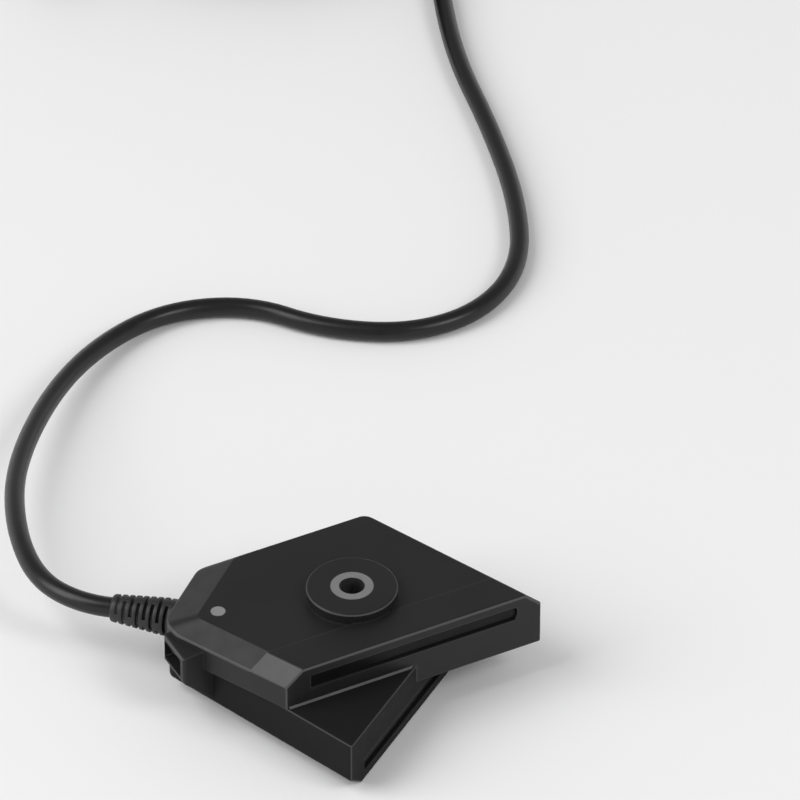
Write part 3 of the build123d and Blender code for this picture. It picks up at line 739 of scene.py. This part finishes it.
def housingPlastic(name):
    look = housing[name]
    grain = mouldedGrain
    material = newMaterial(name, look["dark"], grain["rough"][0], level=look["level"])
    field = blotched(material, grain["blotch"], look["dark"], look["light"])
    # The plastic's own blotched tone, with the painted highlight mixed in on edges, rims and the front
    # corner
    paint(material, mixColours(material, paintedHighlightShare(material, look["corner"]), field, paintedEdgeHighlight["colour"]))
    varyRoughness(material, grain["patch"], *grain["rough"])
    addBump(material, noise(material, grain["grain"]), grain["grainDepth"], grain["grainStrength"])
    addBump(material, cells(material, grain["cell"]), grain["cellDepth"], grain["cellStrength"])
    return material


# A finish between a darker and a lighter colour, with patches of roughness and a fine grain
def grainedMaterial(name, look):
    material = newMaterial(name, look["dark"], look["rough"][0], look.get("metallic", 0.0), look["level"])
    paint(material, blotched(material, look["blotch"], look["dark"], look["light"]))
    varyRoughness(material, look["patch"], *look["rough"])
    addBump(material, noise(material, look["grain"], look["detail"]), look["depth"], look["strength"])
    return material


windowLook = {
    "dark": (0.0040, 0.0040, 0.0043),
    "light": (0.0062, 0.0062, 0.0066),
    "level": 0.14,
    "blotch": 0.010,
    "rough": (0.27, 0.34),
    "patch": 0.004,
    "grain": 0.012,
    "detail": 2.0,
    "depth": 0.00003,
    "strength": 0.3,
}
jacketLook = {
    "dark": (0.0035, 0.0035, 0.0037),
    "light": (0.0055, 0.0055, 0.0058),
    "level": 0.42,
    "blotch": 0.02,
    "rough": (0.29, 0.37),
    "patch": 0.005,
    "grain": 0.0009,
    "detail": 3.0,
    "depth": 0.00002,
    "strength": 0.5,
}
ceramicLook = {
    "dark": (0.55, 0.50, 0.40),
    "light": (0.68, 0.63, 0.53),
    "level": 0.5,
    "blotch": 0.0008,
    "rough": (0.45, 0.65),
    "patch": 0.001,
    "grain": 0.0002,
    "detail": 3.0,
    "depth": 0.00001,
    "strength": 0.6,
}
chipLook = {
    "dark": (0.011, 0.011, 0.012),
    "light": (0.019, 0.019, 0.020),
    "level": 0.5,
    "blotch": 0.0007,
    "rough": (0.44, 0.58),
    "patch": 0.001,
    "grain": 0.00015,
    "detail": 2.0,
    "depth": 0.00001,
    "strength": 0.6,
}
goldLook = {
    "dark": (0.74, 0.50, 0.17),
    "light": (0.86, 0.62, 0.25),
    "level": 0.5,
    "metallic": 1.0,
    "blotch": 0.0008,
    "rough": (0.20, 0.32),
    "patch": 0.0006,
    "grain": 0.0003,
    "detail": 2.0,
    "depth": 0.000006,
    "strength": 0.5,
}


def softRubber(name, dark, light, rough):
    return grainedMaterial(name, {
        "dark": dark,
        "light": light,
        "level": 0.42,
        "blotch": 0.008,
        "rough": (rough - 0.05, rough + 0.06),
        "patch": 0.003,
        "grain": 0.0006,
        "detail": 3.0,
        "depth": 0.00002,
        "strength": 0.6,
    })


def mouldedPlastic(name, dark, light, rough):
    return grainedMaterial(name, {
        "dark": dark,
        "light": light,
        "level": 0.45,
        "blotch": 0.012,
        "rough": (rough - 0.04, rough + 0.05),
        "patch": 0.004,
        "grain": 0.0005,
        "detail": 3.0,
        "depth": 0.000015,
        "strength": 0.6,
    })


turning = {
    "rings": 0.00022,
    "distortion": 0.6,
    "valleyShade": 0.86,
    "depth": 0.000012,
    "strength": 0.5,
    "rough": (0.30, 0.42),
    "patch": 0.0015,
}


# A turned face: fine rings about the piece's own middle
def turnedMetal(name, colour, middle=(0.0, 0.0, 0.0)):
    material = newMaterial(name, colour, turning["rough"][0], metallic=1.0)
    marks = rings(material, centred(material, middle), turning["rings"], turning["distortion"])
    valley = tuple(turning["valleyShade"] * part for part in colour)
    paint(material, mixColours(material, marks, valley, colour))
    varyRoughness(material, turning["patch"], *turning["rough"])
    addBump(material, marks, turning["depth"], turning["strength"])
    return material


def filledResin(name, dark, light, rough):
    material = newMaterial(name, dark, rough)
    speckle = spread(material, cells(material, 0.0007), 0.0, 1.0, start=0.25, end=0.6)
    paint(material, mixColours(material, speckle, light, dark))
    varyRoughness(material, 0.002, rough - 0.06, rough + 0.08)
    addBump(material, noise(material, 0.0004), depth=0.00003, strength=0.5)
    return material


# Copper traces under amber film, side by side across the ribbon
def ribbonFilm(name, turn):
    material = newMaterial(name, (0.36, 0.15, 0.03), 0.32)
    waves = bands(material, centred(material, turn=turn), size=0.0010)
    traces = spread(material, waves, 0.0, 1.0, start=0.42, end=0.58)
    paint(material, mixColours(material, traces, (0.30, 0.11, 0.02), (0.52, 0.24, 0.07)))
    varyRoughness(material, size=0.002, low=0.27, high=0.38)
    addBump(material, traces, depth=0.00002, strength=0.6)
    return material


# Green mask over the board's traces, which run on a grid at half a right angle
board = {
    "traceScale": 260.0,
    "traceWidth": 0.06,
    "traceBlur": 0.2,
    "turn": 45.0,
    "mask": (0.006, 0.050, 0.020),
    "overTrace": (0.018, 0.120, 0.050),
}


def solderMask():
    material = newMaterial("solderMask", (0.010, 0.070, 0.028), 0.30)
    node = newNode(material, "ShaderNodeTexBrick")
    node.inputs["Scale"].default_value = board["traceScale"]
    node.inputs["Mortar Size"].default_value = board["traceWidth"]
    node.inputs["Mortar Smooth"].default_value = board["traceBlur"]
    node.inputs["Color1"].default_value = (0.0, 0.0, 0.0, 1.0)
    node.inputs["Color2"].default_value = (0.25, 0.25, 0.25, 1.0)
    node.inputs["Mortar"].default_value = (1.0, 1.0, 1.0, 1.0)
    link(material, centred(material, turn=math.radians(board["turn"])), node.inputs["Vector"])
    paint(material, mixColours(material, node.outputs["Color"], board["mask"], board["overTrace"]))
    varyRoughness(material, size=0.003, low=0.25, high=0.36)
    addBump(material, node.outputs["Color"], depth=0.00002, strength=0.6)
    return material


# Four wires, each its own colour, told apart by their place across the connector
loom = {
    "middle": -0.0310,
    "pitch": 0.0016,
    "blur": 0.00005,
    "firstWire": (0.35, 0.02, 0.015),
    "nextWires": [(0.010, 0.010, 0.011), (0.55, 0.50, 0.05), (0.02, 0.06, 0.30)],
}


def wireColours():
    material = newMaterial("wireColours", loom["firstWire"], 0.40)
    across = partsOf(material, place(material))["X"]
    whole = loom["firstWire"]
    for k, colour in enumerate(loom["nextWires"]):
        gap = loom["middle"] + (k - 1) * loom["pitch"]
        share = spread(material, across, 0.0, 1.0, gap - loom["blur"], gap + loom["blur"])
        whole = mixColours(material, share, whole, colour)
    paint(material, whole)
    varyRoughness(material, size=0.002, low=0.35, high=0.46)
    addBump(material, noise(material, 0.0006, 2.0), depth=0.00001, strength=0.5)
    return material


def hookBand():
    material = newMaterial("hookBand", (0.010, 0.010, 0.011), 0.80, level=0.3)
    paint(material, blotched(material, 0.0012, (0.0075, 0.0075, 0.0080), (0.0150, 0.0150, 0.0160)))
    addBump(material, cells(material, 0.00075), depth=0.00020, strength=0.8)
    addBump(material, noise(material, 0.0003), depth=0.00008, strength=0.7)
    varyRoughness(material, size=0.001, low=0.74, high=0.90)
    return material


def dress(material, *names):
    for name in names:
        for slot in nodes[name].material_slots:
            slot.material = material


# Soft panels to the left and in front, in a room that is brighter near the horizon than overhead
studio = {
    "floorSize": 12.0,
    "floorLevel": -0.0003,
    "floorColour": (0.93, 0.93, 0.93),
    "overhead": 0.34,
    "horizon": 1.15,
    "horizonTop": 0.50,
    "aim": (0.0, 0.0, 0.02),
    "lamps": [        # name, place, size, power
        ("leftPanel", (-2.30, 0.64, 2.18), (2.0, 3.0), 70.0),
        ("frontPanel", (1.16, -1.98, 2.22), (1.2, 1.2), 26.0),
    ],
}


def makeFloor():
    deselectAll()
    bpy.ops.mesh.primitive_plane_add(size=studio["floorSize"], location=(0.0, 0.0, studio["floorLevel"]))
    floor = bpy.context.object
    floor.name = "floor"
    material = newMaterial("floorWhite", studio["floorColour"], 0.7, level=0.2)
    varyRoughness(material, size=0.05, low=0.65, high=0.75)
    floor.data.materials.append(material)


def lightStudio():
    world = bpy.data.worlds.new("studioWorld")
    world.use_nodes = True
    tree = world.node_tree
    direction = tree.nodes.new("ShaderNodeTexCoord")
    height = tree.nodes.new("ShaderNodeSeparateXYZ")
    tree.links.new(direction.outputs["Generated"], height.inputs["Vector"])
    fade = tree.nodes.new("ShaderNodeMapRange")
    fade.inputs["From Min"].default_value = 0.0
    fade.inputs["From Max"].default_value = studio["horizonTop"]
    fade.inputs["To Min"].default_value = studio["horizon"]
    fade.inputs["To Max"].default_value = studio["overhead"]
    tree.links.new(height.outputs["Z"], fade.inputs["Value"])
    light = tree.nodes["Background"]
    light.inputs["Color"].default_value = (1.0, 1.0, 1.0, 1.0)
    tree.links.new(fade.outputs["Result"], light.inputs["Strength"])
    bpy.context.scene.world = world
    for name, spot, size, power in studio["lamps"]:
        data = bpy.data.lights.new(name, "AREA")
        data.shape = "RECTANGLE"
        data.size, data.size_y = size
        data.energy = power
        lamp = bpy.data.objects.new(name, data)
        lamp.location = spot
        lamp.rotation_euler = (Vector(studio["aim"]) - Vector(spot)).to_track_quat("-Z", "Y").to_euler()
        bpy.context.scene.collection.objects.link(lamp)


placeCamera()
bpy.context.scene.view_settings.view_transform = "Standard"

jacket = grainedMaterial("leadJacket", jacketLook)
rubber = softRubber("reliefRubber", (0.0130, 0.0130, 0.0136), (0.0185, 0.0185, 0.0192), 0.46)
sealRubber = softRubber("sealRubber", (0.008, 0.008, 0.009), (0.014, 0.014, 0.015), 0.50)
plugPlastic = mouldedPlastic("plugPlastic", (0.011, 0.011, 0.012), (0.016, 0.016, 0.017), 0.44)
dress(housingPlastic("upperPlastic"), "upper_housing")
dress(housingPlastic("lowerPlastic"), "lower_housing")
dress(grainedMaterial("windowPolymer", windowLook), "forward_window", "lower_window")
dress(sealRubber, "seam_gasket", "sleeve_seals", "plug_seal", "cable_gland")
dress(turnedMetal("turnedSleeve", (0.50, 0.50, 0.51)), "mount_sleeve")
dress(filledResin("matchingResin", (0.26, 0.21, 0.12), (0.36, 0.30, 0.19), 0.60),
      "forward_matching_layer", "lower_matching_layer")
dress(grainedMaterial("firedCeramic", ceramicLook), "forward_elements", "lower_elements")
dress(filledResin("loadedBacking", (0.045, 0.040, 0.035), (0.110, 0.100, 0.090), 0.72),
      "forward_backing", "lower_backing")
dress(ribbonFilm("ribbonFilm", 0.0), "forward_flex")
dress(ribbonFilm("turnedRibbonFilm", math.radians(35.3)), "lower_flex")
dress(solderMask(), "main_board")
dress(grainedMaterial("chipPackage", chipLook), "board_chips")
dress(mouldedPlastic("sensorPackage", (0.028, 0.028, 0.030), (0.040, 0.040, 0.043), 0.38), "attitude_sensor")
dress(mouldedPlastic("connectorNylon", (0.60, 0.57, 0.50), (0.68, 0.65, 0.58), 0.48), "board_connector")
dress(turnedMetal("screwSteel", (0.46, 0.46, 0.48)), "board_screws")
dress(turnedMetal("studFace", (0.61, 0.61, 0.62), (-0.0423, 0.0126, 0.0)), "temperature_stud")
dress(mouldedPlastic("glazedBead", (0.020, 0.020, 0.024), (0.035, 0.035, 0.040), 0.22), "thermistor")
dress(jacket, "cable_tail")
dress(wireColours(), "wire_loom")
dress(mouldedPlastic("insertPlastic", (0.030, 0.030, 0.033), (0.042, 0.042, 0.046), 0.36), "plug_insert")
dress(grainedMaterial("goldPlate", goldLook), "plug_pins")
print("stage: materials on the frame's nodes")

makeRelief(rubber)
band = hookBand()
onLead = [makeStrap(k, angle, band) for k, angle in enumerate(strap["angles"])]
onLead += [makeBoot(rubber), makePlugBody(plugPlastic), makeLockRing(plugPlastic)]
onLead += [nodes[name] for name in ("plug_insert", "plug_pins", "plug_seal")]
print("stage: straps and plug made")
makeLead(jacket)
print("stage: lead made")
makeFloor()
lightStudio()

print("stage: scene complete")
